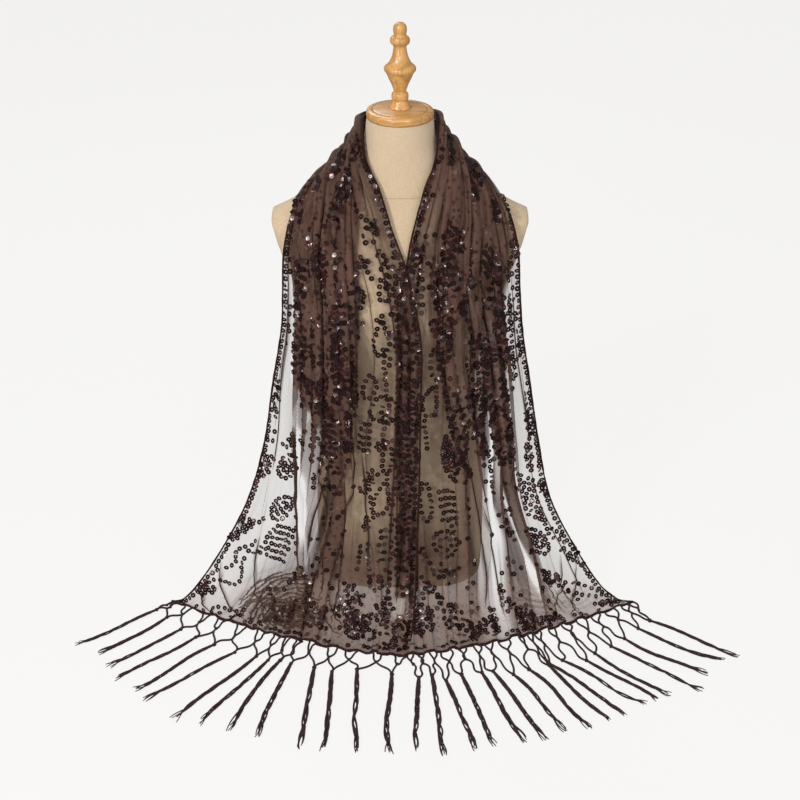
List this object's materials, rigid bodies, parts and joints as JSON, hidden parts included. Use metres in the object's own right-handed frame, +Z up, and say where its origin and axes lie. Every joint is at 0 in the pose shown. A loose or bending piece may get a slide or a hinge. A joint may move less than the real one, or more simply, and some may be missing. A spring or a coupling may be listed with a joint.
{
  "type": "evening stole on a dress form",
  "caption": "Long net stole with sequins and knotted fringe, round the neck of a limbless dress form; both ends hang down the front and spread out on the table.",
  "frame": {"origin": "centre of the dress form's flat base, on the table that the form stands on", "axes": "+Z up the form's neck, -Y out of its chest towards the viewer, +X to the viewer's right"},
  "size_m": [1.0837, 0.6016, 0.9412],
  "materials": {
    "net": "fine see-through dark brown net with overlocked edges",
    "sequin": "small dark brown cupped sequins, glossy",
    "yarn": "loosely twisted dark maroon yarn",
    "linen": "matt natural linen, plain weave",
    "wood": "turned honey-coloured wood, satin varnish",
    "ribbon": "blank satin ribbon"
  },
  "bodies": {
    "root": {"stole_left_fall": "net", "stole_neck_stretch": "net", "stole_right_fall": "net", "fringe_left": "yarn", "fringe_right": "yarn", "care_label": "ribbon", "form_torso": "linen", "neck_cap": "wood", "finial": "wood"}
  },
  "joints": []
}
